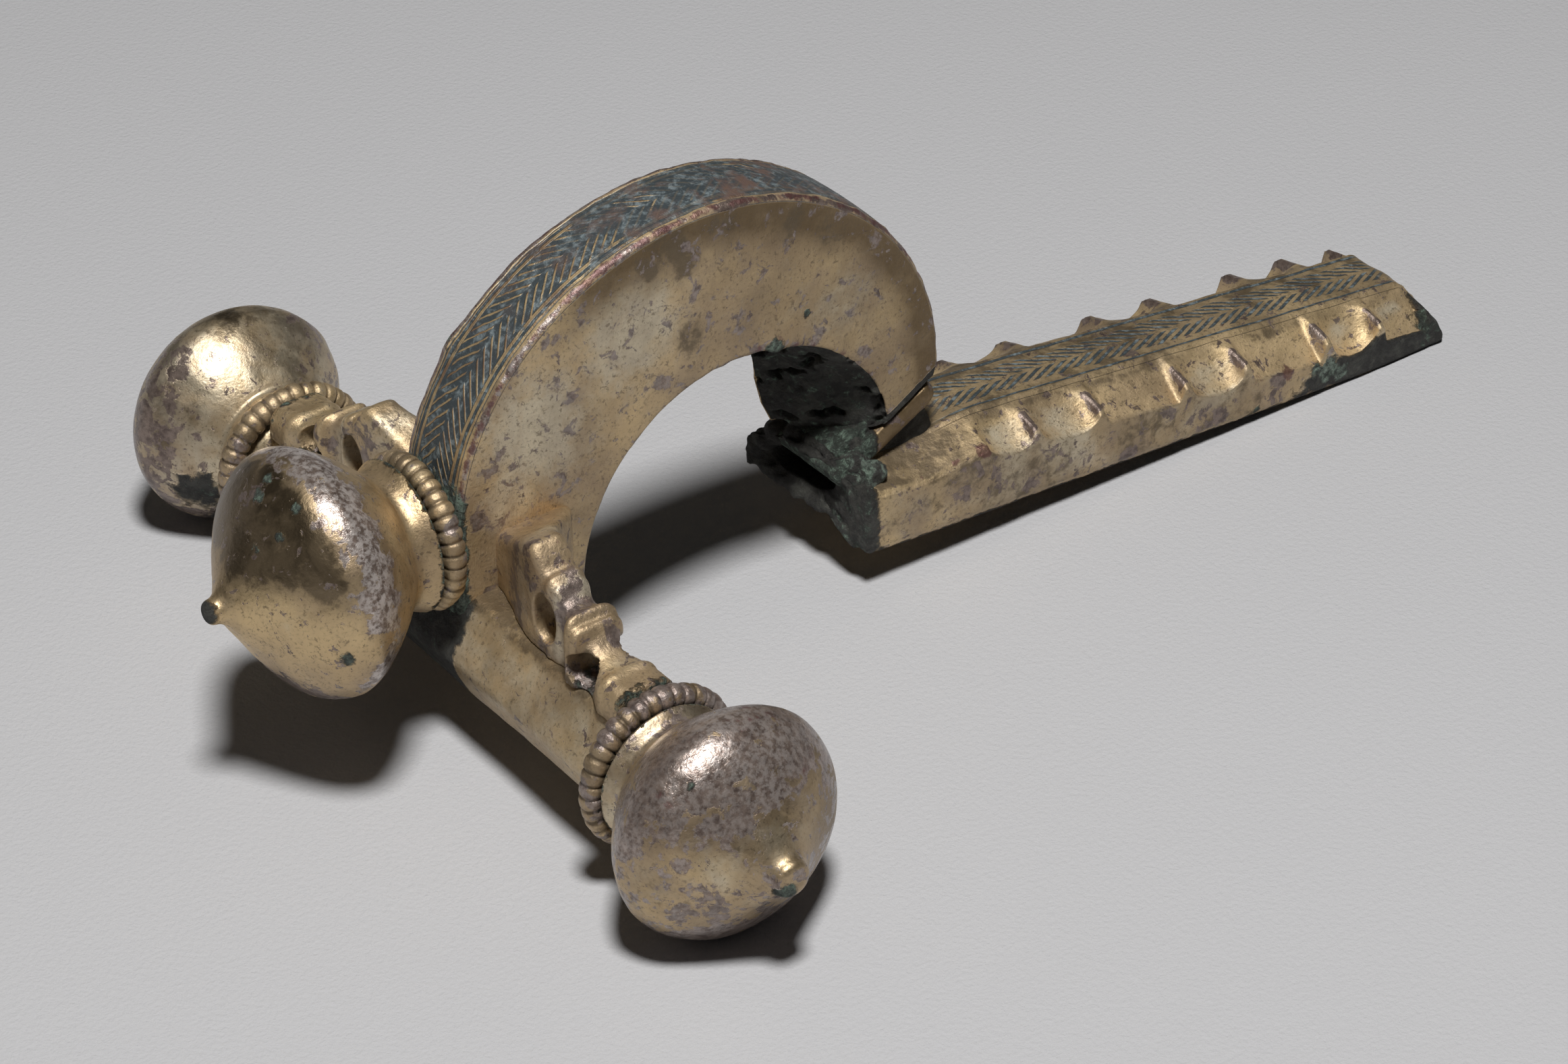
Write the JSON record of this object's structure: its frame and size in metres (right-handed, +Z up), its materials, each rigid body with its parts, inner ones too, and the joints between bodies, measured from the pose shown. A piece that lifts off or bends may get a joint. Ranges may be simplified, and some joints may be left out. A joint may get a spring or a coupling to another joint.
{
  "type": "crossbow brooch",
  "caption": "Late Roman crossbow brooch (fibula): onion knobs, high arched bow, openwork crests on a crossbar, notched foot with herringbone niello; gilt copper alloy, pin lost.",
  "frame": {"origin": "bottom centre of the brooch's box, on the table it lies on", "axes": "+X along the foot, from the head knob to the foot's end; +Y along the crossbar, to the wearer's side knob on the left seen from the head; +Z up from the table"},
  "size_m": [0.0862, 0.0604, 0.028],
  "materials": {
    "gilt_bronze": "worn fire gilding over copper alloy, satin, with brown and purple tarnish and niello inlay on the bow and foot",
    "bare_bronze": "dark corroded copper alloy with green patches"
  },
  "bodies": {
    "root": {"bow_and_foot": "gilt_bronze", "crossbar": "gilt_bronze", "junction_band": "bare_bronze", "head_collar": "gilt_bronze", "left_collar": "gilt_bronze", "right_collar": "gilt_bronze", "head_knob": "gilt_bronze", "left_knob": "gilt_bronze", "right_knob": "gilt_bronze"}
  },
  "joints": []
}
